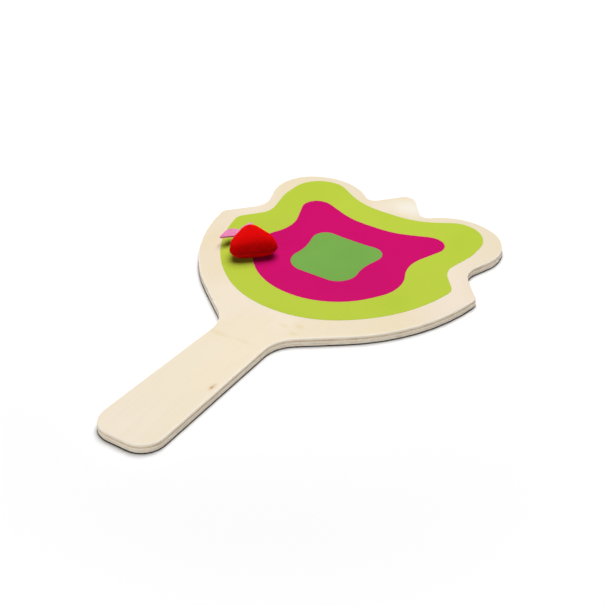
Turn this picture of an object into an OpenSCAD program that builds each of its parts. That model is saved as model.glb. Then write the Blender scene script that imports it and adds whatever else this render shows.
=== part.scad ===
/* [Paddle] */
// Length overall, from the end of the handle to the top of the middle petal
overall_length = 330; // [280:1:400]
// Length of the handle, from its end to the neck
handle_length = 128.5; // [100:0.5:150]
// Width of the head over the points of its two side petals, before they are rounded
head_width = 205; // [170:1:250]
// Width of the handle at its end
handle_end_width = 46; // [38:1:60]
// Width of the handle at the neck, where it runs out into the head
neck_width = 40.5; // [32:0.5:52]
// Radius of the two corners at the end of the handle
handle_corner_r = 15.4; // [6:0.2:18]
// Radius of the hollow on each side of the neck
neck_r = 24.5; // [10:0.5:34]

/* [Plywood] */
// Thickness of the two outer plies
outer_ply_t = 1.5; // [1:0.1:2.5]
// Thickness of the two plies whose grain runs across
cross_ply_t = 1.2; // [0.8:0.1:2.5]
// Thickness of the ply in the middle
core_ply_t = 1.1; // [0.8:0.1:3]
// Radius of the sanded edges of the two outer plies
arris_r = 1.3; // [0.4:0.1:2]

/* [Printed bands] */
// Thickness of the layer of ink
print_t = 0.1; // [0.05:0.05:0.3]
// How far the whole print sits from the middle of the paddle, to the right
print_shift = -1.5; // [-4:0.5:4]
// Distance from the neck to the near end of the lime band
lime_near_margin = 26.5; // [22:0.5:32]
// Distance from the far end of the lime band to the top of the middle petal
lime_far_margin = 12.5; // [8:0.5:20]
// Distance from the widest corners of the lime band to those of the head
lime_side_margin = 15.5; // [10:0.5:22]
// Distances from the ends and sides of the lime band to those of the magenta band
magenta_near_margin = 21; // [14:0.5:26]
magenta_far_margin = 27.5; // [20:0.5:32]
magenta_side_margin = 26; // [20:0.5:32]
// Distances from the ends and sides of the magenta band to those of the green patch
patch_near_margin = 28; // [20:0.5:34]
patch_far_margin = 33.5; // [26:0.5:40]
patch_side_margin = 31.5; // [24:0.5:38]

/* [Ball] */
// Distance from the middle of the ball to each of its three corners
ball_reach = 17.6; // [14:0.2:22]
// Height of the ball as it lies on the paddle
ball_height = 16.9; // [13:0.1:22]
// Height of the seam above the paddle
seam_height = 7; // [5:0.1:9]
// Distance from the left side of the head to the middle of the ball
ball_side_margin = 51.4; // [45:0.1:120]
// Distance from the neck to the middle of the ball
ball_near_margin = 75.6; // [40:0.1:130]
// Turn of the ball on the paddle, in degrees
ball_turn = 33.9; // [-180:0.1:180]
// Thickness of the felt that the cover and the petals are cut from
felt_t = 1.4; // [1:0.1:2]
// Thickness of the sewing thread
thread_d = 0.4; // [0.2:0.05:0.6]
// Depth of the groove that the thread lies in
groove_depth = 0.4; // [0.3:0.05:0.6]
// Gap between soft pieces that lie against one another
soft_gap = 0.3; // [0.2:0.05:0.5]

/* [Felt petals] */
// Width of each petal where it leaves the seam
petal_root_w = 7; // [4:0.5:7.5]
// How far the left petal stands out from the seam
left_petal_reach = 9.4; // [8:0.1:13]
// How far the point of the left petal lies to the side of its root
left_petal_sweep = 12.2; // [7:0.1:14]
// How far the left petal is raised at rest, in degrees
left_petal_rise_deg = 2; // [-15:1:40]
// How far the rear petal stands out from the seam
rear_petal_reach = 13.8; // [9:0.1:16]
// How far the point of the rear petal lies to the side of its root
rear_petal_sweep = 5; // [3:0.1:8]
// How far the rear petal hangs down at rest, in degrees
rear_petal_droop_deg = 8; // [-30:1:12]

/* [Hidden] */

// Colours
wood_light = [0.95, 0.90, 0.81];
wood_tan = [0.75, 0.67, 0.59];
lime = [0.74, 0.82, 0.31];
magenta = [0.80, 0.10, 0.42];
leaf_green = [0.50, 0.67, 0.35];
red = [0.78, 0.01, 0.02];
dark_red = [0.60, 0.00, 0.01];
pink = [0.91, 0.52, 0.71];
wadding = [0.96, 0.95, 0.92];

// Degrees between two points of an arc
arc_step_deg = 6;
// Steps in the rounding of a sanded edge
arris_steps = 4;

// Levels of the plies, from the underside up
back_top = outer_ply_t;
lower_cross_top = back_top + cross_ply_t;
core_top = lower_cross_top + core_ply_t;
upper_cross_top = core_top + cross_ply_t;
blade_t = upper_cross_top + outer_ply_t;
// The sanded edge takes no more than this share of its ply
arris_limit_share = 0.95;
arris = min(arris_r, outer_ply_t * arris_limit_share);

// Lengths along the paddle, whose middle is at zero
handle_end_y = -overall_length / 2;
neck_y = handle_end_y + handle_length;
head_length = overall_length - handle_length;

// Corners of one side of the head, from the neck to the notch beside the middle petal.
// Each row is x as a share of half the head's width, y as a share of its length from the neck,
// and the radius as a share of half its width.
head_shares = [
    [0.930, 0.288, 1.210],
    [1.000, 0.550, 0.060],
    [0.791, 0.669, 0.155],
    [0.966, 0.907, 0.290],
    [0.438, 0.997, 0.400],
    [0.214, 0.894, 0.060]];
// Radius of the middle petal's top, as a share of half the head's width
crest_r_share = 0.083;
// Place from which the whole edge can be seen, as a share of the head's length from the neck
head_middle_share = 0.55;

// Corners of one side of each printed shape, from its near end to its far end.
// Each row is x and the radius as shares of half its width, and y as a share of its length.
lime_shares = [
    [0.322, 0.000, 0.870],
    [0.902, 0.258, 1.149],
    [1.000, 0.511, 0.103],
    [0.816, 0.628, 0.184],
    [0.885, 0.785, 0.368],
    [0.874, 0.985, 0.253],
    [0.575, 1.000, 0.207],
    [0.253, 0.898, 0.644]];
magenta_shares = [
    [0.508, 0.000, 0.918],
    [0.984, 0.395, 0.475],
    [0.746, 0.636, 0.459],
    [1.000, 0.974, 0.172],
    [0.721, 1.000, 0.230],
    [0.279, 0.904, 0.967]];
patch_shares = [
    [0.915, 0.000, 0.475],
    [0.780, 0.476, 1.000],
    [1.000, 1.000, 0.322],
    [0.305, 0.971, 0.680]];

// Form of the ball: how its outline, the side and crown of its top, and its underside curve. A
// share of a half is an ellipse, less is squarer and more is flatter.
outline_curve_share = 0.4545;
top_side_curve_share = 0.405;
top_crown_curve_share = 0.448;
base_curve_share = 0.69;
// Outline of the flat spot that the ball lies on, as a share of the seam's outline
flat_share = 0.45;
// Directions that the three sides of the ball face
side_turns = [-79.5, 40.5, 160.5];
// Steps round the ball, up its top and up its underside
ball_round_steps = 48;
ball_top_steps = 9;
ball_base_steps = 6;
// What is left at the crown for its flat spot, as a share of a step
crown_step_share = 0.4;
// Steps round the sewing thread, and the space beside it as a share of its thickness
thread_round_steps = 6;
thread_gap_share = 0.125;

// Direction of each petal's root from the middle of the ball
left_petal_turn = 121;
rear_petal_turn = 100.5;
// Corners of each petal, from one end of its root to the other. Each row is how far out it lies
// and its radius as shares of the petal's reach, and how far along as a share of its sweep.
left_petal_shares = [
    [1.06, -0.16, 0.60],
    [1.00, 1.00, 0.05]];
rear_petal_shares = [
    [1.00, -1.00, 0.04],
    [0.20, 1.09, 0.22]];

// Unit vector at an angle, direction from one point to another, and an angle within half a turn
function dir(angle) = [cos(angle), sin(angle)];
function way(from, to) = atan2(to.y - from.y, to.x - from.x);
function wrapped(angle) = angle - 360 * floor((angle + 180) / 360);

// Both halves of an outline that is given by its right half
function mirrored(half) = concat(half,
    [for (i = [len(half) - 1:-1:0]) if (half[i].x > 0) [-half[i].x, half[i].y, half[i].z]]);

// Points of a closed outline, anticlockwise, each with its outward normal. Corners are rows of
// x, y and radius, and an arc that would run past its neighbour is drawn in until it fits.
function rounded_rim(corners) =
    let (
        n = len(corners),
        at = [for (c = corners) [c.x, c.y]],
        heading = [for (i = [0:n - 1]) way(at[i], at[(i + 1) % n])],
        side = [for (i = [0:n - 1]) norm(at[(i + 1) % n] - at[i])],
        turn = [for (i = [0:n - 1]) wrapped(heading[i] - heading[(i + n - 1) % n])],
        wish = [for (i = [0:n - 1]) corners[i].z * tan(abs(turn[i]) / 2)],
        reach = [for (i = [0:n - 1]) wish[i] * min(1,
            side[i] / max(side[i], wish[i] + wish[(i + 1) % n]),
            side[(i + n - 1) % n] / max(side[(i + n - 1) % n], wish[i] + wish[(i + n - 1) % n]))]
    )
    [for (i = [0:n - 1])
        let (
            arrive = heading[(i + n - 1) % n],
            r = reach[i] / tan(abs(turn[i]) / 2) * sign(turn[i]),
            centre = at[i] - reach[i] * dir(arrive) + r * dir(arrive + 90),
            steps = r == 0 ? 0 : 2 * ceil(abs(turn[i]) / arc_step_deg / 2)
        )
        for (k = [0:steps])
            let (out = arrive - 90 + (steps == 0 ? turn[i] / 2 : turn[i] * k / steps))
            [centre + r * dir(out), dir(out)]];

function points_of(rim) = [for (p = rim) p[0]];

// Corners of a printed shape at its real size
function print_corners(shares, width, length, near_y) = mirrored([for (s = shares)
    [s.x * width / 2, near_y + s.y * length, s.z * width / 2]]);

// The right half of the paddle. The middle petal's corner lies where the line from the notch
// beside it touches the round top.
half_width = head_width / 2;
head_corners = [for (s = head_shares)
    [s.x * half_width, neck_y + s.y * head_length, s.z * half_width]];
crest_r = crest_r_share * half_width;
crest_centre = [0, overall_length / 2 - crest_r];
notch = [head_corners[len(head_corners) - 1].x, head_corners[len(head_corners) - 1].y];
crest_way = way(notch, crest_centre) - asin(crest_r / norm(crest_centre - notch));
crest_corner = [0, notch.y - notch.x * tan(crest_way), crest_r];
paddle_rim = rounded_rim(mirrored(concat(
    [[handle_end_width / 2, handle_end_y, handle_corner_r], [neck_width / 2, neck_y, neck_r]],
    head_corners,
    [crest_corner])));

// The printed shapes, each set inside the one before it by its margins
lime_width = head_width - 2 * lime_side_margin;
lime_length = head_length - lime_near_margin - lime_far_margin;
lime_near_y = neck_y + lime_near_margin;
magenta_width = lime_width - 2 * magenta_side_margin;
magenta_length = lime_length - magenta_near_margin - magenta_far_margin;
magenta_near_y = lime_near_y + magenta_near_margin;
patch_width = magenta_width - 2 * patch_side_margin;
patch_length = magenta_length - patch_near_margin - patch_far_margin;
patch_near_y = magenta_near_y + patch_near_margin;
lime_rim = rounded_rim(print_corners(lime_shares, lime_width, lime_length, lime_near_y));
magenta_rim = rounded_rim(print_corners(magenta_shares, magenta_width, magenta_length, magenta_near_y));
patch_rim = rounded_rim(print_corners(patch_shares, patch_width, patch_length, patch_near_y));

// Closed solid through a list of rings with the same number of points. The flat cap at each end
// is a fan about a middle from which the whole ring can be seen.
module ring_solid(rings, middle = [0, 0]) {
    n = len(rings[0]);
    last = (len(rings) - 1) * n;
    first_middle = len(rings) * n;
    points = concat(
        [for (ring = rings) each ring],
        [[middle.x, middle.y, rings[0][0].z], [middle.x, middle.y, rings[len(rings) - 1][0].z]]);
    walls = [for (j = [0:len(rings) - 2]) for (i = [0:n - 1])
        let (a = j * n + i, b = j * n + (i + 1) % n)
        each [[a, a + n, b + n], [a, b + n, b]]];
    first_cap = [for (i = [0:n - 1]) [i, (i + 1) % n, first_middle]];
    last_cap = [for (i = [0:n - 1]) [last + (i + 1) % n, last + i, first_middle + 1]];
    polyhedron(points, concat(first_cap, walls, last_cap));
}

// The paddle's outline, drawn in by a distance, at a height
function paddle_ring(inset, z) = [for (p = paddle_rim) [each (p[0] - inset * p[1]), z]];

// Ply with the paddle's outline between two levels
module flat_ply(bottom, top) {
    translate([0, 0, bottom])
        linear_extrude(top - bottom)
            polygon(points_of(paddle_rim));
}

// Outer ply, lying with its sanded edge down
module sanded_ply() {
    ring_solid(concat(
        [for (k = [0:arris_steps])
            let (a = 90 * k / arris_steps)
            paddle_ring(arris * (1 - sin(a)), arris * (1 - cos(a)))],
        [paddle_ring(0, outer_ply_t)]),
        [0, neck_y + head_middle_share * head_length]);
}

module back_ply() {
    color(wood_light) sanded_ply();
}

module lower_cross_ply() {
    color(wood_tan) flat_ply(back_top, lower_cross_top);
}

module core_ply() {
    color(wood_light) flat_ply(lower_cross_top, core_top);
}

module upper_cross_ply() {
    color(wood_tan) flat_ply(core_top, upper_cross_top);
}

module face_ply() {
    color(wood_light) translate([0, 0, blade_t]) mirror([0, 0, 1]) sanded_ply();
}

// Layer of ink inside one outline, and outside another where there is one
module ink(outer, inner = []) {
    translate([print_shift, 0, blade_t])
        linear_extrude(print_t)
            difference() {
                polygon(points_of(outer));
                if (len(inner) > 0) polygon(points_of(inner));
            }
}

module lime_band() {
    color(lime) ink(lime_rim, magenta_rim);
}

module magenta_band() {
    color(magenta) ink(magenta_rim, patch_rim);
}

module centre_patch() {
    color(leaf_green) ink(patch_rim);
}

// How far the seam lies from the middle of the ball in each direction, and the way it faces there
function side_sum(angle) = let (
    pulls = [for (side = side_turns) pow(max(0, cos(angle - side)), 1 / outline_curve_share)])
    pulls[0] + pulls[1] + pulls[2];
corner_way = side_turns[1] + 180 / len(side_turns);
side_reach = ball_reach * pow(side_sum(corner_way), outline_curve_share);
function seam_r(angle) = side_reach * pow(side_sum(angle), -outline_curve_share);
function seam_normal(angle) = let (
    pulls = [for (side = side_turns)
        pow(max(0, cos(angle - side)), 1 / outline_curve_share - 1) * dir(side)],
    pull = pulls[0] + pulls[1] + pulls[2])
    atan2(pull.y, pull.x);

// Ring round the ball: a share of the seam's outline drawn in by an inset, at a height
function ball_ring(share, inset, z) = [for (i = [0:ball_round_steps - 1])
    let (a = 360 * i / ball_round_steps)
    [each ((seam_r(a) - inset) * share * dir(a)), z]];

// Rings from the flat spot up to the seam, and from the seam up to the crown
function base_side(inset) = [for (k = [0:ball_base_steps])
    let (a = 90 * k / ball_base_steps)
    ball_ring(flat_share + (1 - flat_share) * pow(sin(a), 2 * base_curve_share), inset,
        inset + (seam_height - inset) * (1 - cos(a)))];
function top_side(inset) = [for (k = [0:ball_top_steps])
    let (a = 90 * (1 - k / (ball_top_steps + crown_step_share)))
    ball_ring(pow(sin(a), 2 * top_side_curve_share), inset,
        seam_height + (ball_height - seam_height - inset) * pow(cos(a), 2 * top_crown_curve_share))];
function backwards(list) = [for (i = [len(list) - 1:-1:0]) list[i]];
function without_last(list) = [for (i = [0:len(list) - 2]) list[i]];
function without_first(list) = [for (i = [1:len(list) - 1]) list[i]];

// The edge of each cover is cut back at the seam, which leaves a groove for the thread
function groove_ring() = ball_ring(1, groove_depth, seam_height);
function below_groove() = ball_ring(1, 0, seam_height - groove_depth);
function above_groove() = ball_ring(1, 0, seam_height + groove_depth);

// Places a piece of the ball where the ball lies on the paddle
module on_paddle() {
    translate([ball_side_margin - half_width, neck_y + ball_near_margin, blade_t + print_t])
        rotate([0, 0, ball_turn])
            children();
}

module ball_base_cover() {
    color(red) on_paddle() ring_solid(concat(
        without_last(base_side(0)),
        [below_groove(), groove_ring()],
        backwards(base_side(felt_t))));
}

module ball_top_cover() {
    color(red) on_paddle() ring_solid(concat(
        backwards(top_side(felt_t)),
        [groove_ring(), above_groove()],
        without_first(top_side(0))));
}

module ball_filling() {
    color(wadding) on_paddle() ring_solid(concat(
        base_side(felt_t + soft_gap),
        without_first(top_side(felt_t + soft_gap))));
}

// Closed thread that follows the groove. It stands as far out as the groove's two slopes allow.
module ball_seam_thread() {
    out = groove_depth - thread_d * (1 / 2 + thread_gap_share) * sqrt(2);
    points = [for (i = [0:ball_round_steps - 1]) for (k = [0:thread_round_steps - 1])
        let (
            a = 360 * i / ball_round_steps,
            b = 360 * (k + 0.5) / thread_round_steps
        )
        [each ((seam_r(a) - out + thread_d / 2 * cos(b)) * dir(a)),
            seam_height + thread_d / 2 * sin(b)]];
    faces = [for (i = [0:ball_round_steps - 1]) for (k = [0:thread_round_steps - 1])
        let (
            j = (i + 1) % ball_round_steps,
            m = (k + 1) % thread_round_steps,
            a = i * thread_round_steps + k,
            b = i * thread_round_steps + m,
            c = j * thread_round_steps + m,
            d = j * thread_round_steps + k
        )
        each [[a, b, c], [a, c, d]]];
    color(dark_red) on_paddle() polyhedron(points, faces);
}

// Felt petal sewn to the seam in one direction, raised by an angle. Its root is rounded about
// the line that it bends on, and stands a soft gap off the seam.
module petal(at, shares, reach, sweep, rise) {
    out_way = seam_normal(at);
    root = seam_r(at) * dir(at) + (soft_gap + felt_t / 2) * dir(out_way);
    corners = concat(
        [[0, -petal_root_w / 2, 0]],
        [for (s = shares) [s.x * reach, s.y * sweep, s.z * reach]],
        [[0, petal_root_w / 2, 0]]);
    on_paddle()
        translate([root.x, root.y, seam_height])
            rotate([0, 0, out_way])
                rotate([0, -rise, 0]) {
                    translate([0, 0, -felt_t / 2])
                        linear_extrude(felt_t)
                            polygon(points_of(rounded_rim(corners)));
                    rotate([90, 0, 0])
                        cylinder(h = petal_root_w, d = felt_t, center = true, $fn = 32);
                }
}

module left_petal() {
    color(pink) petal(left_petal_turn, left_petal_shares, left_petal_reach, left_petal_sweep,
        left_petal_rise_deg);
}

module rear_petal() {
    color(pink) petal(rear_petal_turn, rear_petal_shares, rear_petal_reach, rear_petal_sweep,
        -rear_petal_droop_deg);
}

back_ply();
lower_cross_ply();
core_ply();
upper_cross_ply();
face_ply();
lime_band();
magenta_band();
centre_patch();
ball_base_cover();
ball_top_cover();
ball_filling();
ball_seam_thread();
left_petal();
rear_petal();
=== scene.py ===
import math

import bmesh
import bpy
from mathutils import Matrix, Vector, noise


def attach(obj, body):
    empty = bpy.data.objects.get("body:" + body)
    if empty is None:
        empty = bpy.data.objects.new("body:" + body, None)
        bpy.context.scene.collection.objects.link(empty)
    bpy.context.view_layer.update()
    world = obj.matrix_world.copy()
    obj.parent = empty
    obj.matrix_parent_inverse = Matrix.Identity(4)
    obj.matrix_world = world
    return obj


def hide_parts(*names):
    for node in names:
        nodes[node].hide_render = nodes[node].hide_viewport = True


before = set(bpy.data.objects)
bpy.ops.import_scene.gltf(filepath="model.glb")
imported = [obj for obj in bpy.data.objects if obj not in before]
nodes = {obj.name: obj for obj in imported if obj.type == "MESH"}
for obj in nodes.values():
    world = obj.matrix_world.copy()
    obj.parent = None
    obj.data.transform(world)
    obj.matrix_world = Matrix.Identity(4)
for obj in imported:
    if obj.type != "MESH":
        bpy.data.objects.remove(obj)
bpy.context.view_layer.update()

print("packed bat and ball loaded")


def mm(value):
    return value / 1000


def linear(hexColour):  # sRGB hex to the linear colour that a shader takes
    parts = [int(hexColour[i:i + 2], 16) / 255 for i in (1, 3, 5)]
    return [c / 12.92 if c <= 0.04045 else ((c + 0.055) / 1.055) ** 2.4 for c in parts] + [1]


def addNode(tree, kind, settings=None, links=None):  # links: input name or number -> value or socket
    made = tree.nodes.new(kind)
    for name, value in (settings or {}).items():
        setattr(made, name, value)
    for name, value in (links or {}).items():
        if isinstance(value, bpy.types.NodeSocket):
            tree.links.new(value, made.inputs[name])
        else:
            made.inputs[name].default_value = value
    return made


def newMaterial(name):  # with its node tree, its shader and the coordinate that its patterns follow
    material = bpy.data.materials.new(name)
    material.use_nodes = True
    tree = material.node_tree
    coordinate = addNode(tree, "ShaderNodeTexCoord").outputs["Object"]
    return material, tree, tree.nodes["Principled BSDF"], coordinate


# Lays over, a hex colour or a socket, on what is under it. It begins where the pattern has the value
# none, and at the value full the share most of it shows.
def overlay(tree, under, pattern, over, none, full, most=1.0):
    under, over = (linear(colour) if isinstance(colour, str) else colour for colour in (under, over))
    mask = addNode(tree, "ShaderNodeMapRange", {"interpolation_type": "SMOOTHSTEP"}, {
        "Value": pattern, "From Min": none, "From Max": full, "To Min": 0.0, "To Max": most}).outputs[0]
    return addNode(tree, "ShaderNodeMix", {"data_type": "RGBA"}, {0: mask, 6: under, 7: over}).outputs[2]


# Links a material's colour and relief, and sets what is the same all over on the shader's own sockets.
def setSurface(tree, shader, colour, height, relief, surface):
    tree.links.new(colour, shader.inputs["Base Color"])
    strength, distance = relief
    bump = addNode(tree, "ShaderNodeBump", {}, {
        "Strength": strength, "Distance": distance, "Height": height})
    tree.links.new(bump.outputs["Normal"], shader.inputs["Normal"])
    for name, value in surface.items():
        shader.inputs[name].default_value = value


# In these dictionaries a tint is a colour, the pattern's value where it begins, the value where it is
# full, and how much of it shows there. A grain is its width and its length, a relief its strength
# and its depth.
wood = {
    "pale": "#DED1B8",   # rotary-cut birch under clear satin lacquer
    "creamClouds": ("#E0D0AE", 0.42, 0.68, 0.85),
    "rosyClouds": ("#E6D8C8", 0.46, 0.62, 0.8),
    "paintedHandleLight": ("#EDE1CC", mm(60), mm(-80), 0.6),   # painted light: paler from the head down the handle, where the lamps fall off
    "grainLines": ("#D2BE9C", 0.52, 0.74, 0.2),
    "broadBands": ("#E0D0AE", 0.5, 0.72, 0.2),
    "flecks": ("#A98253", 0.74, 0.8, 0.3),
    "arrisWearAndHighlight": ("#FFF4E2", 0.985, 0.86, 0.9),   # painted highlight where the edge rounds over, on a rim also rubbed paler by sanding
    "cutEdge": "#F8EEDE",   # side grain of the outer plies, partly painted light: drawn paler than the face for the upright edges
    "cutEdgeGrain": ("#ECDFCA", 0.4, 0.7),
    "cutEdgeSteepness": (0.5, 0.05, 0.9),   # the outer plies turn to cut edge where they stand upright
    "cloudSize": mm(46),
    "rosyCloudSize": mm(46 / 0.6),
    "cloudStretch": (1, 0.45, 1),   # the clouds lie along the bat
    "grain": (mm(0.8), mm(38)),   # real birch is nearer 0.4 wide, drawn coarser so that it shows
    "broadGrain": (mm(7.2), mm(152)),
    "fleckGrain": (mm(0.35), mm(3.2)),
    "cutEdgeCells": (mm(1.6), mm(1.6)),
    "reliefGrain": (mm(0.3), mm(9)),
    "relief": (0.12, mm(0.05)),
    "wornGrain": (0.3, 0.8),   # the lacquer is duller along the grain lines
    "lacquerRoughness": (0.37, 0.54),
    "surface": {"IOR": 1.5, "Specular IOR Level": 0.16, "Coat Weight": 0.15, "Coat Roughness": 0.18},
}
# A pin knot, a few mineral streaks and a pale patch of painted glare on the far lobe: place across
# and along the bat, radius across and along, all in mm, then colour and strength
woodSpotsAndGlare = [
    (17.0, -97.8, 0.9, 1.5, "#B16F2F", 0.85),
    (17.0, -97.0, 2.0, 4.6, "#CA9E69", 0.45),
    (25.3, -16.5, 4.6, 2.4, "#DCC895", 0.50),
    (26.2, -25.0, 3.6, 1.8, "#DAC592", 0.45),
    (16.0, -21.0, 4.0, 2.0, "#DECB9C", 0.40),
    (-13.0, -50.2, 10.0, 2.4, "#DCC99E", 0.40),
    (4.0, -49.0, 9.0, 2.0, "#DECBA6", 0.30),
    # painted glare where the lamp shines on the far lobe
    (8.0, 151.0, 17.0, 13.0, "#E8E4DA", 0.75),
]
spotRim = (1.75, 0.6)       # where a spot begins and is full, in its own radii
spotRaggedness = 0.9        # how far the grain pulls at a spot's rim


def woodGrain(tree, coordinate, width, length):  # 0 to 1, in streaks along the bat
    stretched = addNode(tree, "ShaderNodeMapping", {}, {
        "Vector": coordinate, "Scale": (1 / width, 1 / length, 1 / width)}).outputs[0]
    return addNode(tree, "ShaderNodeTexNoise", {}, {
        "Vector": stretched, "Scale": 1.0, "Detail": 4.0, "Roughness": 0.6,
        "Distortion": 0.25}).outputs["Fac"]


def addWoodSpotsAndGlare(tree, coordinate, grain, colour):
    for x, y, radiusAcross, radiusAlong, spotColour, strength in woodSpotsAndGlare:
        away = addNode(tree, "ShaderNodeMapping", {"vector_type": "POINT"}, {
            "Vector": coordinate,
            "Location": (-x / radiusAcross, -y / radiusAlong, 0),
            "Scale": (1 / mm(radiusAcross), 1 / mm(radiusAlong), 0)}).outputs[0]
        far = addNode(tree, "ShaderNodeVectorMath", {"operation": "LENGTH"}, {0: away}).outputs["Value"]
        ragged = addNode(tree, "ShaderNodeMath", {"operation": "MULTIPLY_ADD"}, {
            0: grain, 1: spotRaggedness, 2: far}).outputs[0]
        colour = overlay(tree, colour, ragged, spotColour, *spotRim, strength)
    return colour


def makeVeneer(name, withSpotsAndGlare):  # lacquered birch veneer: pale cream, cloudy, with a fine quiet grain
    material, tree, shader, coordinate = newMaterial(name)
    along = addNode(tree, "ShaderNodeSeparateXYZ", {}, {"Vector": coordinate}).outputs["Y"]
    stretched = addNode(tree, "ShaderNodeMapping", {}, {
        "Vector": coordinate, "Scale": wood["cloudStretch"]}).outputs[0]
    cream = addNode(tree, "ShaderNodeTexNoise", {}, {
        "Vector": stretched, "Scale": 1 / wood["cloudSize"], "Detail": 3.0,
        "Roughness": 0.55}).outputs["Fac"]
    cloudColours = addNode(tree, "ShaderNodeTexNoise", {}, {
        "Vector": stretched, "Scale": 1 / wood["rosyCloudSize"], "Detail": 2.0}).outputs["Color"]
    rosy = addNode(tree, "ShaderNodeSeparateColor", {}, {"Color": cloudColours}).outputs[1]
    grain = woodGrain(tree, coordinate, *wood["grain"])
    broad = woodGrain(tree, coordinate, *wood["broadGrain"])
    dashes = woodGrain(tree, coordinate, *wood["fleckGrain"])
    colour = overlay(tree, wood["pale"], cream, *wood["creamClouds"])
    colour = overlay(tree, colour, rosy, *wood["rosyClouds"])
    # painted light, paler down the handle
    colour = overlay(tree, colour, along, *wood["paintedHandleLight"])
    colour = overlay(tree, colour, grain, *wood["grainLines"])
    colour = overlay(tree, colour, broad, *wood["broadBands"])
    colour = overlay(tree, colour, dashes, *wood["flecks"])
    if withSpotsAndGlare:
        colour = addWoodSpotsAndGlare(tree, coordinate, grain, colour)
    normal = addNode(tree, "ShaderNodeNewGeometry").outputs["Normal"]
    upright = addNode(tree, "ShaderNodeSeparateXYZ", {}, {"Vector": normal}).outputs["Z"]
    level = addNode(tree, "ShaderNodeMath", {"operation": "ABSOLUTE"}, {0: upright}).outputs[0]
    cells = woodGrain(tree, coordinate, *wood["cutEdgeCells"])
    cutEdge = overlay(tree, wood["cutEdge"], cells, *wood["cutEdgeGrain"])
    # painted highlight along the rounded edge, partly also its sanded wear
    colour = overlay(tree, colour, level, *wood["arrisWearAndHighlight"])
    # the upright cut edges, drawn paler as painted light
    colour = overlay(tree, colour, level, cutEdge, *wood["cutEdgeSteepness"])
    relief = woodGrain(tree, coordinate, *wood["reliefGrain"])
    setSurface(tree, shader, colour, relief, wood["relief"], wood["surface"])
    (first, last), (bright, dull) = wood["wornGrain"], wood["lacquerRoughness"]
    worn = addNode(tree, "ShaderNodeMapRange", {"interpolation_type": "SMOOTHSTEP"}, {
        "Value": grain, "From Min": first, "From Max": last, "To Min": bright, "To Max": dull})
    tree.links.new(worn.outputs[0], shader.inputs["Roughness"])
    return material


crossPlies = {
    # body and shade colours at the cut edge: the upper is browner, the lower painted paler as light off the
    # floor
    "upper": ("#E0CCAC", "#CDB28E"),
    "lower": ("#F4E7D0", "#E6D5B9"),
    "shadePatches": (0.38, 0.66),
    "pores": ("#7F684D", 0.58, 0.74, 0.4),
    "flattened": (1, 1, 2.6),   # the patches and pores are lower than they are wide
    "patchSize": mm(7),
    "poreSize": mm(0.45),
    "relief": (0.35, mm(0.08)),
    "surface": {"Roughness": 0.62, "IOR": 1.5},
}


# Tan end grain of a cross ply, sanded and lacquered: dull, with short dark pores
def makeCrossPly(name, body, shade):
    material, tree, shader, coordinate = newMaterial(name)
    flattened = addNode(tree, "ShaderNodeMapping", {}, {
        "Vector": coordinate, "Scale": crossPlies["flattened"]}).outputs[0]
    patches = addNode(tree, "ShaderNodeTexNoise", {}, {
        "Vector": flattened, "Scale": 1 / crossPlies["patchSize"], "Detail": 3.0,
        "Roughness": 0.6}).outputs["Fac"]
    pores = addNode(tree, "ShaderNodeTexNoise", {}, {
        "Vector": flattened, "Scale": 1 / crossPlies["poreSize"], "Detail": 2.0,
        "Roughness": 0.7}).outputs["Fac"]
    colour = overlay(tree, body, patches, shade, *crossPlies["shadePatches"])
    colour = overlay(tree, colour, pores, *crossPlies["pores"])
    setSurface(tree, shader, colour, pores, crossPlies["relief"], crossPlies["surface"])
    return material


inks = {
    # body and shade colours, and roughness
    "lime": ("#B1C340", "#AABD37", 0.26),
    "magenta": ("#C20E65", "#BA0C61", 0.24),
    "leafGreen": ("#71A24B", "#6A9B44", 0.26),
    "alongGrain": (0.4, 0.75, 0.35),   # how the shade colour spreads: begins, is full, strength
    "inClouds": (0.4, 0.7, 0.5),
    "pinholes": (wood["pale"], 0.022, 0.012, 0.6),
    "grain": (mm(1.1), mm(42)),
    "cloudSize": mm(55),
    "pinholeSpacing": mm(19),
    "reliefGrain": (mm(0.5), mm(14)),
    "relief": (0.04, mm(0.05)),
    "surface": {"IOR": 1.48, "Specular IOR Level": 0.06},
}


# Screen-printed ink: even and satin, the veneer's grain shows through
def makeInk(name, body, shade, roughness):
    material, tree, shader, coordinate = newMaterial(name)
    grain = woodGrain(tree, coordinate, *inks["grain"])
    clouds = addNode(tree, "ShaderNodeTexNoise", {}, {
        "Vector": coordinate, "Scale": 1 / inks["cloudSize"], "Detail": 2.0}).outputs["Fac"]
    pinholes = addNode(tree, "ShaderNodeTexVoronoi", {"feature": "F1"}, {
        "Vector": coordinate, "Scale": 1 / inks["pinholeSpacing"], "Randomness": 1.0}).outputs["Distance"]
    colour = overlay(tree, body, grain, shade, *inks["alongGrain"])
    colour = overlay(tree, colour, clouds, shade, *inks["inClouds"])
    colour = overlay(tree, colour, pinholes, *inks["pinholes"])
    relief = woodGrain(tree, coordinate, *inks["reliefGrain"])
    setSurface(tree, shader, colour, relief, inks["relief"], {**inks["surface"], "Roughness": roughness})
    return material


felts = {
    # body, shade and fibre colours, and how far red, green and blue light creep through the loose
    # wool, as shares of a length
    "red": ("#DA0303", "#CC0303", "#E21010", (1.0, 0.15, 0.15), mm(7)),
    "pink": ("#D982AC", "#CD74A0", "#E3A0C0", (1.0, 0.6, 0.8), mm(1.5)),
    "shadeClumps": (0.36, 0.66),
    "brightFibres": (0.60, 0.80, 0.45),
    "clumpSize": mm(2.4),
    "fibre": (mm(0.22), mm(2.2)),   # real wool is finer, drawn thicker so that it shows
    "fibreTurns": (0.3, 1.35, 2.4),   # three layers of short fibres, each lying its own way
    "relief": (0.35, mm(0.2)),
    "surface": {"Roughness": 0.95, "Specular IOR Level": 0.04, "Subsurface Weight": 1.0,
                "Sheen Weight": 0.08, "Sheen Roughness": 0.4},
}


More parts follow.
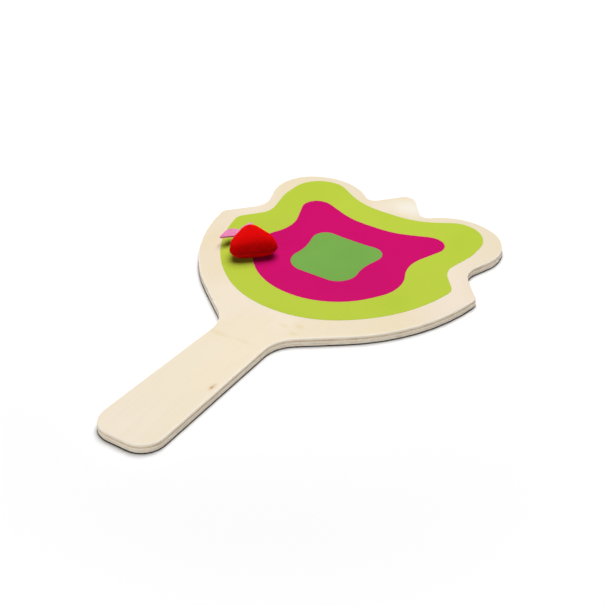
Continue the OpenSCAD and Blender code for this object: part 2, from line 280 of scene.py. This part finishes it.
# Pressed wool felt: matt, with matted fibres and a soft light rim
def makeFelt(name, body, shade, fibreColour, creep, creepScale):
    material, tree, shader, coordinate = newMaterial(name)
    clumps = addNode(tree, "ShaderNodeTexNoise", {}, {
        "Vector": coordinate, "Scale": 1 / felts["clumpSize"], "Detail": 4.0,
        "Roughness": 0.65}).outputs["Fac"]
    width, length = felts["fibre"]
    fibres = None
    for turn in felts["fibreTurns"]:
        laid = addNode(tree, "ShaderNodeMapping", {}, {
            "Vector": coordinate, "Rotation": (turn, 0.7 * turn, turn),
            "Scale": (1 / width, 1 / length, 1 / width)}).outputs[0]
        layer = addNode(tree, "ShaderNodeTexNoise", {}, {
            "Vector": laid, "Scale": 1.0, "Detail": 2.0, "Roughness": 0.5,
            "Distortion": 0.6}).outputs["Fac"]
        fibres = layer if fibres is None else addNode(
            tree, "ShaderNodeMath", {"operation": "MAXIMUM"}, {0: fibres, 1: layer}).outputs[0]
    colour = overlay(tree, body, clumps, shade, *felts["shadeClumps"])
    colour = overlay(tree, colour, fibres, fibreColour, *felts["brightFibres"])
    height = addNode(tree, "ShaderNodeMath", {"operation": "ADD"}, {0: fibres, 1: clumps}).outputs[0]
    setSurface(tree, shader, colour, height, felts["relief"], {
        **felts["surface"], "Subsurface Radius": creep, "Subsurface Scale": creepScale,
        "Sheen Tint": linear(fibreColour)})
    return material


thread = {
    "body": "#B80608",
    "shade": ("#8E0405", 0.35, 0.65, 0.6),
    "twistSize": mm(0.35),
    "relief": (0.4, mm(0.06)),
    "surface": {"Roughness": 0.6, "Specular IOR Level": 0.3},
}


def makeThread(name):  # mercerised cotton: a small soft shine on each twist
    material, tree, shader, coordinate = newMaterial(name)
    twist = addNode(tree, "ShaderNodeTexNoise", {}, {
        "Vector": coordinate, "Scale": 1 / thread["twistSize"], "Detail": 2.0}).outputs["Fac"]
    colour = overlay(tree, thread["body"], twist, *thread["shade"])
    setSurface(tree, shader, colour, twist, thread["relief"], thread["surface"])
    return material


wadding = {
    "body": "#F6F4EF",
    "shade": ("#DCD8CF", 0.35, 0.7),
    "strandSize": mm(1.5),
    "relief": (0.8, mm(0.4)),
    "surface": {"Roughness": 0.9},
}


def makeWadding(name):  # loose polyester fibre: white, dull and streaky
    material, tree, shader, coordinate = newMaterial(name)
    strands = addNode(tree, "ShaderNodeTexNoise", {}, {
        "Vector": coordinate, "Scale": 1 / wadding["strandSize"], "Detail": 6.0, "Roughness": 0.7,
        "Distortion": 1.5}).outputs["Fac"]
    colour = overlay(tree, wadding["body"], strands, *wadding["shade"])
    setSurface(tree, shader, colour, strands, wadding["relief"], wadding["surface"])
    return material


materials = {
    "face": makeVeneer("lacqueredBirchFace", True),
    "back": makeVeneer("lacqueredBirchBack", False),
    "upperCross": makeCrossPly("sandedUpperEndGrain", *crossPlies["upper"]),
    "lowerCrossPaintedPaler": makeCrossPly("sandedLowerEndGrainPaintedPaler", *crossPlies["lower"]),
    "lime": makeInk("limeScreenInk", *inks["lime"]),
    "magenta": makeInk("magentaScreenInk", *inks["magenta"]),
    "leafGreen": makeInk("leafGreenScreenInk", *inks["leafGreen"]),
    "redFelt": makeFelt("redWoolFelt", *felts["red"]),
    "pinkFelt": makeFelt("pinkWoolFelt", *felts["pink"]),
    "thread": makeThread("redSewingThread"),
    "wadding": makeWadding("polyesterWadding"),
}
print("materials made")


board = {
    "plies": {"face_ply": "face", "back_ply": "back", "core_ply": "back",
              "lower_cross_ply": "lowerCrossPaintedPaler", "upper_cross_ply": "upperCross"},
    "prints": {"lime_band": "lime", "magenta_band": "magenta", "centre_patch": "leafGreen"},
    "sharpFold": 35,          # degrees, flatter folds are shaded round
    "seamGap": mm(0.002),     # points closer than this are one
    "faceWeight": 100,        # the large flat faces set the shading
}


def shadeByAngle(limit):  # rounds the shading over folds flatter than the limit, and keeps the others sharp
    group = bpy.data.node_groups.new("shadeByAngle", "GeometryNodeTree")
    group.interface.new_socket("Geometry", in_out="INPUT", socket_type="NodeSocketGeometry")
    group.interface.new_socket("Geometry", in_out="OUTPUT", socket_type="NodeSocketGeometry")
    start = addNode(group, "NodeGroupInput").outputs[0]
    plain = addNode(group, "GeometryNodeRemoveAttribute", {}, {"Geometry": start, "Name": "custom_normal"})
    joined = addNode(group, "GeometryNodeMergeByDistance", {}, {
        "Geometry": plain.outputs[0], "Distance": board["seamGap"]}).outputs[0]
    smooth = addNode(group, "GeometryNodeSetShadeSmooth", {"domain": "FACE"}, {
        "Geometry": joined, "Shade Smooth": True}).outputs[0]
    fold = addNode(group, "GeometryNodeInputMeshEdgeAngle").outputs[0]
    sharp = addNode(group, "FunctionNodeCompare", {"data_type": "FLOAT", "operation": "GREATER_THAN"}, {
        0: fold, 1: math.radians(limit)}).outputs[0]
    done = addNode(group, "GeometryNodeSetShadeSmooth", {"domain": "EDGE"}, {
        "Geometry": smooth, "Selection": sharp, "Shade Smooth": False}).outputs[0]
    addNode(group, "NodeGroupOutput", {}, {0: done})
    return group


def dress(nodeName, material):
    piece = nodes[nodeName]
    piece.data.materials.clear()
    piece.data.materials.append(material)
    return piece


edgeShading = shadeByAngle(board["sharpFold"])
for nodeName, finishName in board["plies"].items():
    ply = dress(nodeName, materials[finishName])
    ply.modifiers.new("edgeShading", "NODES").node_group = edgeShading
    weighted = ply.modifiers.new("faceWeighted", "WEIGHTED_NORMAL")
    weighted.keep_sharp = True
    weighted.weight = board["faceWeight"]
for nodeName, finishName in board["prints"].items():
    dress(nodeName, materials[finishName])
print("board and print dressed")


ball = {
    "centre": Vector((mm(-51.1), mm(39.1), mm(6.6))),   # where it rests on the bat
    "turn": 33.9,             # degrees
    "reach": mm(17.6),        # from the middle to a corner of the outline
    "height": mm(16.9),
    "seam": mm(7.0),
    "feltThickness": mm(1.4),
    "sides": (-79.5, 40.5, 160.5),   # the way that each of the three sides faces, in degrees
    # exponents of the rounded forms: the outline, the dome's sides, its crown and the base
    "outline": 2.2, "topSide": 2.52, "topCrown": 2.28, "base": 1.5,
    "flatShare": 0.48,        # share of the outline that the ball rests on
    "around": 240,            # points in a ring
    "topSteps": (40, 13), "baseSteps": (26, 8),   # rings outside and inside each cover
    "crownGap": 0.25,         # the last ring stops this share of a step short of the crown
    "outerStart": mm(1.25), "innerStart": mm(0.5),   # where these rings begin, from the seam
    "mouth": mm(0.2),         # where the inside turns out to the lip
    "lip": mm(0.35),          # how far the two felt edges stand out at the seam
    "swell": 0.75,            # beyond them the cover still swells by this share of the lip
    "swellPeak": mm(1.0), "swellReach": mm(1.1),
    "pull": mm(0.22), "pullReach": mm(2.4),   # the felt draws in at the stitches, less further away
    "pullWidth": 0.17,        # in spacings of the stitches
    "lump": mm(0.42), "lumpScale": 95, "lumpShift": Vector((4.2, 1.7, 0)),
    "lumpFull": mm(3),        # the lumps of the stuffing show in full this far from the seam
    "baseLumpShare": 0.4,
    "fuzz": mm(0.06), "fuzzScale": 1500,
    # the flank beside the left petal is stuffed fuller: how far, where, and how wide and high it is
    "bulge": mm(0.9), "bulgeTurn": 183, "bulgeWidth": 40, "bulgeRise": 0.62, "bulgeHeight": 0.3,
    # the soft crown sits a little to the right of the middle, from this share of the height on
    "lean": mm(1.2), "leanFrom": 0.45, "leanOver": 0.5,
}
# Rings of a felt edge at the seam: inset from the outline, distance from the seam, pull of the stitches
lipRings = [
    (mm(0.9), mm(0.12), 0.0),
    (mm(0.25), mm(0.14), mm(0.10)),
    (-0.55 * ball["lip"], mm(0.28), mm(0.20)),
    (-0.9 * ball["lip"], mm(0.62), mm(0.28)),
    (-0.8 * ball["lip"], mm(1.0), mm(0.30)),
]
stitch = {
    "count": 58,
    "thickness": mm(0.34),
    "slant": 0.34,           # share of the spacing that a stitch runs along the seam
    "reach": mm(0.85),       # above and below the seam
    "stand": 0.92,           # share of the lip at which it lies
    "crossing": mm(0.10),    # it stands out this much more over the seam
    "sunk": mm(0.3),         # its ends go this far into the felt
    "endShare": 0.75,        # and are this much as thick as its middle
    "steps": 8,
}


def direction(angle, z=0.0):  # the way out from the ball's middle at an angle in degrees
    return Vector((math.cos(math.radians(angle)), math.sin(math.radians(angle)), z))


def bell(distance, width):  # 1 in the middle, falling to nothing on both sides
    return math.exp(-(distance / width) ** 2)


def sidePull(angle):  # how strongly the sides draw the outline in at this angle
    return sum(max(0.0, math.cos(math.radians(angle - side))) ** ball["outline"] for side in ball["sides"])


# a corner of the outline lies halfway between two sides
sideReach = ball["reach"] * sidePull(ball["sides"][1] + 60) ** (1 / ball["outline"])


def seamRadius(angle):
    return sideReach * sidePull(angle) ** (-1 / ball["outline"])


def seamNormal(angle):  # the way that the seam faces, in degrees
    x = y = 0.0
    for side in ball["sides"]:
        pull = max(0.0, math.cos(math.radians(angle - side))) ** (ball["outline"] - 1)
        x += pull * math.cos(math.radians(side))
        y += pull * math.sin(math.radians(side))
    return math.degrees(math.atan2(y, x))


def onPaddle(point):  # from the ball's own place to its place on the bat
    return ball["centre"] + Matrix.Rotation(math.radians(ball["turn"]), 3, "Z") @ Vector(point)


def stitchPull(angle, depth):  # the felt draws in a little at every stitch
    phase = (angle / 360 * stitch["count"]) % 1.0
    return depth * bell(phase - 0.5, ball["pullWidth"])


# Points round the ball at one height: its outline, drawn in by inset and scaled by share, with the
# pull of the stitches and the lumps of the stuffing where they are given
def ballRing(share, inset, z, pull=0.0, lump=0.0):
    ring = []
    rise = (z - ball["seam"]) / (ball["height"] - ball["seam"])
    high = min(1.0, max(0.0, (rise - ball["leanFrom"]) / ball["leanOver"]))
    lean = ball["lean"] * high * high * (3 - 2 * high)
    bulge = 0 if inset > 0 else ball["bulge"]
    for i in range(ball["around"]):
        angle = 360 * i / ball["around"]
        at = (seamRadius(angle) - inset) * share * direction(angle) + Vector((0, 0, z))
        if lump:  # the lumps go from a quarter in to three quarters out
            lumps = (noise.noise(at * ball["lumpScale"] + ball["lumpShift"]) * 0.5 + 0.25) * lump
            fuzz = noise.noise(at * ball["fuzzScale"]) * ball["fuzz"]
            at += direction(angle, 0.5).normalized() * (lumps + fuzz)
        away = (angle - ball["bulgeTurn"] + 180) % 360 - 180
        full = bulge * bell(away, ball["bulgeWidth"]) * bell(rise - ball["bulgeRise"], ball["bulgeHeight"])
        at += direction(angle) * (full - stitchPull(angle, pull))
        at.x += lean
        ring.append(onPaddle(at))
    return ring


def topProfile(inset, steps):  # from the seam to the crown: share of the outline, height
    profile = []
    for k in range(steps + 1):
        a = math.radians(90 * (1 - k / (steps + ball["crownGap"])))
        rise = (ball["height"] - ball["seam"] - inset) * math.cos(a) ** (2 / ball["topCrown"])
        profile.append((math.sin(a) ** (2 / ball["topSide"]), ball["seam"] + rise))
    return profile


def baseProfile(inset, steps):  # from the seam down to the flat spot
    profile = []
    for k in range(steps + 1):
        a = math.radians(90 * (1 - k / steps))
        share = ball["flatShare"] + (1 - ball["flatShare"]) * math.sin(a) ** (2 / ball["base"])
        profile.append((share, inset + (ball["seam"] - inset) * (1 - math.cos(a))))
    return profile


def meshPiece(name, mesh, material):
    data = bpy.data.meshes.new(name)
    mesh.to_mesh(data)
    mesh.free()
    data.polygons.foreach_set("use_smooth", [True] * len(data.polygons))
    data.materials.append(material)
    piece = bpy.data.objects.new(name, data)
    bpy.context.scene.collection.objects.link(piece)
    return piece


def meshFromRings(name, rings, material):  # joins the rings in turn and closes both ends
    mesh = bmesh.new()
    rows = [[mesh.verts.new(p) for p in ring] for ring in rings]
    count = len(rows[0])
    for lower, upper in zip(rows, rows[1:]):
        for i in range(count):
            j = (i + 1) % count
            mesh.faces.new((lower[i], lower[j], upper[j], upper[i]))
    for row in (rows[0][::-1], rows[-1]):
        middle = mesh.verts.new(sum((v.co for v in row), Vector()) / count)
        for i in range(count):
            mesh.faces.new((row[i], row[(i + 1) % count], middle))
    bmesh.ops.recalc_face_normals(mesh, faces=mesh.faces)
    return meshPiece(name, mesh, material)


def coverRings(profile, way, lumpShare):  # outer felt from its lip to the cap, way +1 up, -1 down
    seam = ball["seam"]
    rings = [ballRing(1, inset, seam + way * away, pull) for inset, away, pull in lipRings]
    for share, z in profile:
        away = abs(z - seam)
        if away > ball["outerStart"]:
            swell = ball["lip"] * ball["swell"] * bell(away - ball["swellPeak"], ball["swellReach"])
            lump = ball["lump"] * min(1, away / ball["lumpFull"]) * lumpShare
            rings.append(ballRing(share, -swell, z, ball["pull"] * bell(away, ball["pullReach"]), lump))
    return rings


def makeCover(name, profileOf, way, steps, lumpShare):  # a felt shell: its inside, its lip and its outside
    outerSteps, innerSteps = steps
    felt, seam = ball["feltThickness"], ball["seam"]
    inside = [ballRing(share, felt, z) for share, z in profileOf(felt, innerSteps)
              if abs(z - seam) > ball["innerStart"]]
    mouth = ballRing(1, felt, seam + way * ball["mouth"])
    outside = coverRings(profileOf(0, outerSteps), way, lumpShare)
    return meshFromRings(name, inside[::-1] + [mouth] + outside, materials["redFelt"])


topCover = makeCover("ballTopCover", topProfile, 1, ball["topSteps"], 1)
baseCover = makeCover("ballBaseCover", baseProfile, -1, ball["baseSteps"], ball["baseLumpShare"])
for cover, nodeName in ((topCover, "ball_top_cover"), (baseCover, "ball_base_cover")):
    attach(cover, "ball")
    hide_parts(nodeName)


def wrapTube(mesh, path, radii, sides=8):  # closed tube along a path, a radius for each point
    rows = []
    for i, at in enumerate(path):
        along = (path[min(i + 1, len(path) - 1)] - path[max(i - 1, 0)]).normalized()
        side = (side - along * side.dot(along) if rows else along.orthogonal()).normalized()
        up = along.cross(side)
        rows.append([mesh.verts.new(at + radii[i] * (math.cos(t) * side + math.sin(t) * up))
                     for t in (2 * math.pi * k / sides for k in range(sides))])
    for lower, upper in zip(rows, rows[1:]):
        for k in range(sides):
            m = (k + 1) % sides
            mesh.faces.new((lower[k], lower[m], upper[m], upper[k]))
    mesh.faces.new(rows[0][::-1])
    mesh.faces.new(rows[-1])


def makeSeamStitches():  # small slanting overcast stitches that hold the two felt edges together
    mesh = bmesh.new()
    for i in range(stitch["count"]):
        path, radii = [], []
        for k in range(stitch["steps"] + 1):
            t = k / stitch["steps"]
            over, end = math.sin(math.pi * t), math.cos(math.pi * t)
            angle = 360 * (i + 0.5 + stitch["slant"] * (t - 0.5)) / stitch["count"]
            out = ball["lip"] * stitch["stand"] + stitch["crossing"] * over - stitch["sunk"] * end ** 4
            at = (seamRadius(angle) + out) * direction(angle)
            path.append(onPaddle(at + Vector((0, 0, ball["seam"] + stitch["reach"] * end))))
            radii.append(stitch["thickness"] / 2 * (stitch["endShare"] + (1 - stitch["endShare"]) * over))
        wrapTube(mesh, path, radii)
    bmesh.ops.recalc_face_normals(mesh, faces=mesh.faces)
    return meshPiece("ballSeamStitches", mesh, materials["thread"])


stitches = makeSeamStitches()
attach(stitches, "ball")
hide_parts("ball_seam_thread")

stuffing = {
    "gap": mm(0.55),   # between the wadding and the covers
    "lump": mm(0.25),
    "baseSteps": 12, "topSteps": 16,
}


def makeFilling():  # the wadding inside, a lumpy form of its own a little inside the covers
    inset = ball["feltThickness"] + stuffing["gap"]
    down = [ballRing(share, inset, z, 0, stuffing["lump"])
            for share, z in baseProfile(inset, stuffing["baseSteps"])]
    up = [ballRing(share, inset, z, 0, stuffing["lump"])
          for share, z in topProfile(inset, stuffing["topSteps"])][1:]
    return meshFromRings("ballWadding", down[::-1] + up, materials["wadding"])


filling = makeFilling()
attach(filling, "ball")
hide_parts("ball_filling")
print("ball made")


# Each petal: its place on the seam and its rise at the root in degrees, its two outer corners with
# their radius, its flat size, how far it curls, and its own seed for the lumps
petals = {
    "leftPetal": {
        "node": "left_petal", "at": 121, "raised": 2,
        "corners": ((mm(9.96), mm(-1.95), mm(5.6)), (mm(9.4), mm(12.2), mm(0.6))),
        "flat": (mm(10.1), mm(15.7)), "curl": mm(-0.2), "seed": 3,
    },
    "rearPetal": {
        "node": "rear_petal", "at": 100.5, "raised": -8,
        "corners": ((mm(13.8), mm(-5.0), mm(0.6)), (mm(2.76), mm(5.45), mm(3.0))),
        "flat": (mm(10.4), mm(14.5)), "curl": mm(-0.7), "seed": 8,
    },
}
petalFelt = {
    "root": mm(7),            # width at the seam
    "rootCorner": mm(0.5),    # radius
    "cornerShare": 0.48,      # a rounded corner takes up at most this share of a side
    "tongue": mm(0.65),       # the pinched root end that the seam holds
    "softGap": mm(0.3),       # the root stands off the seam by this and half a thickness
    "pinch": 0.42, "pinchReach": mm(1.5),   # the root is pinched thinner by the seam
    "gridSize": mm(0.45), "gridSnap": mm(0.01), "gridShortest": mm(0.02),
    "fuzz": mm(0.05), "fuzzScale": 900,
    "lump": mm(0.16), "lumpScale": 160, "lumpSeed": 5,
    "dish": mm(0.5),          # the two long edges hang lower than the middle
    "curlStart": 0.35,        # the curl first goes the other way, by this share
    "edgeRounding": mm(0.32),
    "sharpFold": 50,          # degrees, sharper folds are the cut edges
}


def roundedOutline(corners, step=5):  # x, y and radius of each corner to the points of a rounded outline
    points = []
    for i, (x, y, radius) in enumerate(corners):
        at = Vector((x, y))
        before = Vector(corners[i - 1][:2]) - at
        after = Vector(corners[(i + 1) % len(corners)][:2]) - at
        half = before.angle(after) / 2
        reach = min(radius / math.tan(half), petalFelt["cornerShare"] * min(before.length, after.length))
        radius = reach * math.tan(half)
        first, last = at + before.normalized() * reach, at + after.normalized() * reach
        centre = at + (before.normalized() + after.normalized()).normalized() * radius / math.sin(half)
        a = math.atan2(first.y - centre.y, first.x - centre.x)
        turn = (math.atan2(last.y - centre.y, last.x - centre.x) - a + math.pi) % (2 * math.pi) - math.pi
        steps = max(2, math.ceil(abs(math.degrees(turn)) / step))
        for k in range(steps + 1):
            b = a + turn * k / steps
            points.append(centre + radius * Vector((math.cos(b), math.sin(b))))
    return points


def cutGrid(mesh, low, high):  # cuts the flat piece into a fine grid, so that it can bend
    spacing = petalFelt["gridSize"]
    for normal, start, end in ((Vector((1, 0, 0)), low.x, high.x), (Vector((0, 1, 0)), low.y, high.y)):
        for k in range(1, math.ceil((end - start) / spacing)):
            bmesh.ops.bisect_plane(mesh, geom=mesh.verts[:] + mesh.edges[:] + mesh.faces[:],
                                   plane_co=normal * (start + k * spacing), plane_no=normal,
                                   dist=petalFelt["gridSnap"])
    bmesh.ops.dissolve_degenerate(mesh, edges=mesh.edges, dist=petalFelt["gridShortest"])


def bendFelt(mesh, upper, low, high, shape):  # gives the flat piece its thickness, curl, lumps and fuzz
    half = ball["feltThickness"] / 2
    for v in mesh.verts:
        x, y = v.co.x, v.co.y
        t = max(0.0, x / high.x)
        across = (y - (low.y + high.y) / 2) / (high.y - low.y)
        scale, seed = petalFelt["fuzzScale"], shape["seed"]
        fuzz = noise.noise(Vector((x * scale, y * scale, seed))) * petalFelt["fuzz"]
        scale, seed = petalFelt["lumpScale"], shape["seed"] + petalFelt["lumpSeed"]
        lump = noise.noise(Vector((x * scale, y * scale, seed))) * petalFelt["lump"] * t
        curl = shape["curl"] * (t ** 2 - petalFelt["curlStart"] * t)
        dish = petalFelt["dish"] * t * across ** 2
        pinched = petalFelt["pinch"] * bell(x + petalFelt["tongue"], petalFelt["pinchReach"])
        thick = (half + fuzz) * (1 - pinched)
        v.co.z = curl - dish + lump + (thick if v in upper else -thick)


def petalPlace(shape):  # stands the petal's root at the seam
    way = seamNormal(shape["at"])
    out = petalFelt["softGap"] + ball["feltThickness"] / 2
    root = seamRadius(shape["at"]) * direction(shape["at"]) + direction(way) * out
    return (Matrix.Translation((root.x, root.y, ball["seam"]))
            @ Matrix.Rotation(math.radians(way), 4, "Z")
            @ Matrix.Rotation(-math.radians(shape["raised"]), 4, "Y"))


def makePetal(name, shape):  # one cut piece of thick felt, curled a little, with soft cut edges
    x, y, radius = -petalFelt["tongue"], petalFelt["root"] / 2, petalFelt["rootCorner"]
    outline = roundedOutline([(x, -y, radius), *shape["corners"], (x, y, radius)])
    low = Vector((min(p.x for p in outline), min(p.y for p in outline)))
    high = Vector((max(p.x for p in outline), max(p.y for p in outline)))
    mesh = bmesh.new()
    mesh.faces.new([mesh.verts.new((p.x, p.y, 0)) for p in outline])
    cutGrid(mesh, low, high)
    grown = bmesh.ops.extrude_face_region(mesh, geom=mesh.faces[:])
    upper = {v for v in grown["geom"] if isinstance(v, bmesh.types.BMVert)}
    bendFelt(mesh, upper, low, high, shape)
    bmesh.ops.recalc_face_normals(mesh, faces=mesh.faces)
    cutEdges = [e for e in mesh.edges
                if len(e.link_faces) == 2 and e.calc_face_angle(0) > math.radians(petalFelt["sharpFold"])]
    bmesh.ops.bevel(mesh, geom=cutEdges, offset=petalFelt["edgeRounding"], segments=3, profile=0.6,
                    affect="EDGES", clamp_overlap=True)
    place = petalPlace(shape)
    for v in mesh.verts:
        v.co = onPaddle(place @ v.co)
    piece = meshPiece(name, mesh, materials["pinkFelt"])
    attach(piece, shape["node"])
    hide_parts(shape["node"])


for petalName, petalShape in petals.items():
    makePetal(petalName, petalShape)
print("petals made")


studio = {
    "floorColour": "#F5F5F6",
    "floorHalf": 3,           # metres from the middle of the sheet to its sides
    "floorGap": mm(0.02),     # the sheet lies this much under the bat
    "paperFibre": mm(0.8), "relief": (0.05, mm(0.05)),
    "surface": {"Roughness": 0.9, "Specular IOR Level": 0.2},
    "contactShade": "#3E3E40",
    "contactReach": mm(2.0),    # the sheet darkens only this close to the bat
    "contactSpread": (0.38, 0.82),   # how open the sheet lies where the shade is full, and where it ends
    "glow": 1.14, "glowFrom": 0.15, "glowTo": 0.9,   # between these metres the sheet turns white
    # place, size, power: one great softbox hangs above and a little behind the bat, and a card in
    # front lifts the ball and the cut edges
    "lights": {
        "softboxAbove": ((-0.12, 0.38, 1.2), 1.2, 21.9),
        "cardInFront": ((0.12, -1.2, 0.36), 0.5, 3.7),
    },
    "skyColour": "#FFFFFF",
    "skyStrength": 0.03,
    # the camera, worked out from the bat's outline in the photograph
    "cameraPlace": (0.4298, -0.6160, 0.5109),
    "cameraWay": (-0.4623, 0.6892, -0.5580),
    "cameraRight": (0.8305, 0.5570, 0.0),
    "cameraClip": (0.01, 20),
    "cameraShift": (-0.00083, 0.00083),
    "lens": 83.3,
    "sensorWidth": 36,
}


# White paper: matt, with painted contact shade where the bat touches it, and lit to white further away
def makePaper(name):
    material, tree, shader, coordinate = newMaterial(name)
    fibre = addNode(tree, "ShaderNodeTexNoise", {}, {
        "Vector": coordinate, "Scale": 1 / studio["paperFibre"], "Detail": 3.0}).outputs["Fac"]
    near = addNode(tree, "ShaderNodeAmbientOcclusion", {"samples": 16}, {
        "Distance": studio["contactReach"]}).outputs["AO"]
    colour = overlay(tree, studio["contactShade"], near, studio["floorColour"], *studio["contactSpread"])
    setSurface(tree, shader, colour, fibre, studio["relief"], {
        **studio["surface"], "Emission Color": linear(studio["floorColour"])})
    away = addNode(tree, "ShaderNodeVectorMath", {"operation": "LENGTH"}, {0: coordinate}).outputs["Value"]
    glow = addNode(tree, "ShaderNodeMapRange", {"interpolation_type": "SMOOTHSTEP"}, {
        "Value": away, "From Min": studio["glowFrom"], "From Max": studio["glowTo"],
        "To Max": studio["glow"]})
    tree.links.new(glow.outputs[0], shader.inputs["Emission Strength"])
    return material


def makeFloor():
    mesh = bmesh.new()
    bmesh.ops.create_grid(mesh, x_segments=8, y_segments=8, size=studio["floorHalf"])
    floor = meshPiece("studioFloor", mesh, makePaper("whitePaperSweep"))
    floor.location.z = -studio["floorGap"]


def makeLight(name, place, size, power):  # a round softbox that faces the middle of the bat
    data = bpy.data.lights.new(name, "AREA")
    data.shape, data.size, data.energy = "DISK", size, power
    light = bpy.data.objects.new(name, data)
    light.location = place
    light.rotation_mode = "QUATERNION"
    light.rotation_quaternion = (-Vector(place)).to_track_quat("-Z", "Y")
    light.visible_camera = False
    bpy.context.scene.collection.objects.link(light)


def makeSky():  # pure white to the camera, and only a little light on the bat
    world = bpy.data.worlds.new("studioSky")
    bpy.context.scene.world = world
    world.use_nodes = True
    tree = world.node_tree
    background = tree.nodes["Background"]
    background.inputs["Color"].default_value = linear(studio["skyColour"])
    seen = addNode(tree, "ShaderNodeLightPath").outputs["Is Camera Ray"]
    strength = addNode(tree, "ShaderNodeMapRange", {}, {"Value": seen, "To Min": studio["skyStrength"]})
    tree.links.new(strength.outputs[0], background.inputs["Strength"])


def makeCamera():
    right, way = Vector(studio["cameraRight"]).normalized(), Vector(studio["cameraWay"]).normalized()
    up = right.cross(way)
    data = bpy.data.cameras.new("photoCamera")
    data.lens, data.sensor_width = studio["lens"], studio["sensorWidth"]
    data.shift_x, data.shift_y = studio["cameraShift"]
    data.clip_start, data.clip_end = studio["cameraClip"]
    camera = bpy.data.objects.new("photoCamera", data)
    camera.matrix_world = Matrix.Translation(studio["cameraPlace"]) @ Matrix(
        (right, up, -way)).transposed().to_4x4()
    bpy.context.scene.collection.objects.link(camera)
    bpy.context.scene.camera = camera


makeFloor()
for lightName, (place, size, power) in studio["lights"].items():
    makeLight(lightName, place, size, power)
makeSky()
makeCamera()
bpy.context.scene.view_settings.view_transform = "Standard"
print("studio set")
